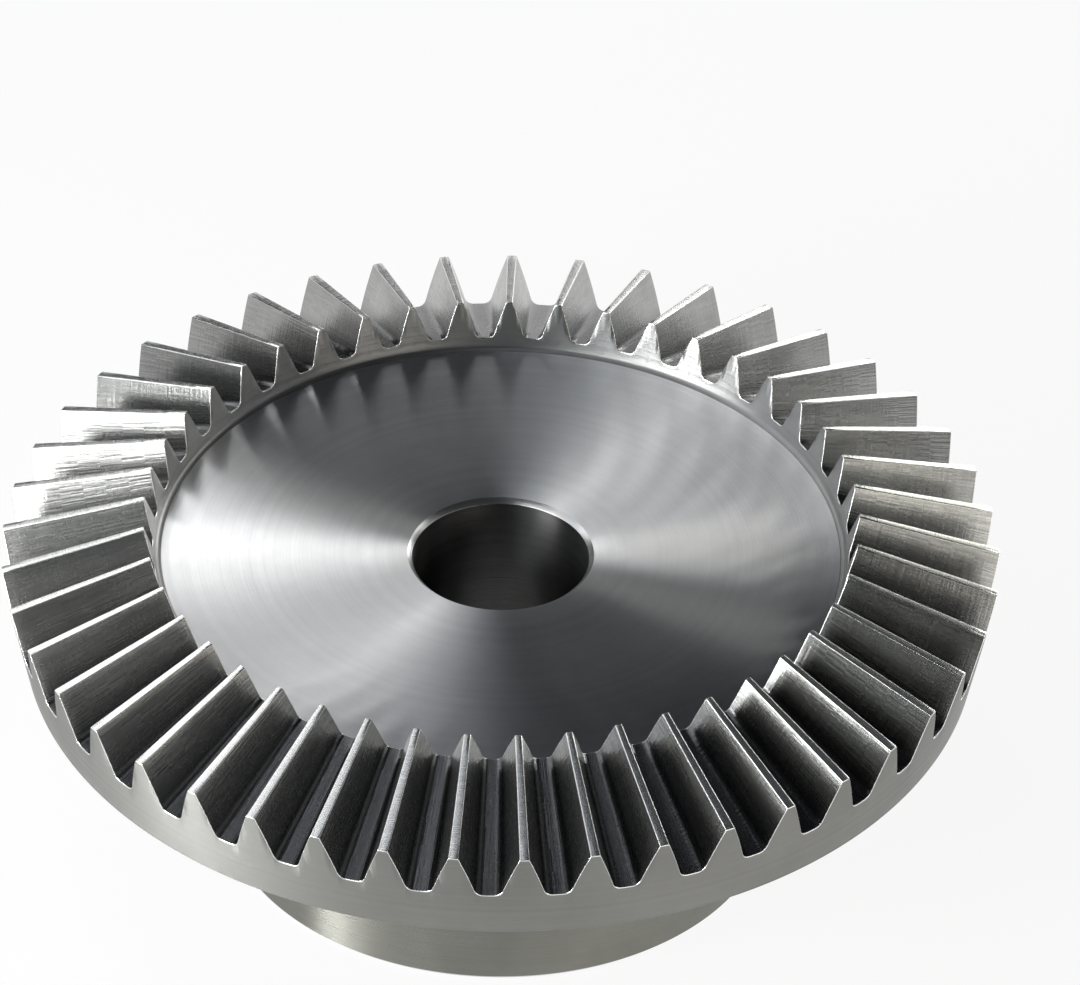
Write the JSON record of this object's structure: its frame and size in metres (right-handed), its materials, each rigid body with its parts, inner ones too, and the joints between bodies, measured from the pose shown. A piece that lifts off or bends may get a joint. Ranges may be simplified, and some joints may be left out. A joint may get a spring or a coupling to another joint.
{
  "type": "bevel gear",
  "caption": "Straight bevel gear wheel with a flat turned disc face, conical ring of tapered teeth, cylindrical hub behind and a plain through bore.",
  "frame": {"origin": "centre of the hub's back face, on the bore axis", "axes": "+Z along the bore axis from the hub's back face towards the toothed front; +Y through the middle of one tooth; +X completes the right-handed frame"},
  "size_m": [0.0904, 0.0903, 0.0339],
  "materials": {
    "machined_steel": "turned disc, hub and bore with fine circular tool marks; cut tooth flanks with fine marks along the teeth; bare and unpainted"
  },
  "bodies": {
    "root": {"bevel_gear": "machined_steel"}
  },
  "joints": []
}
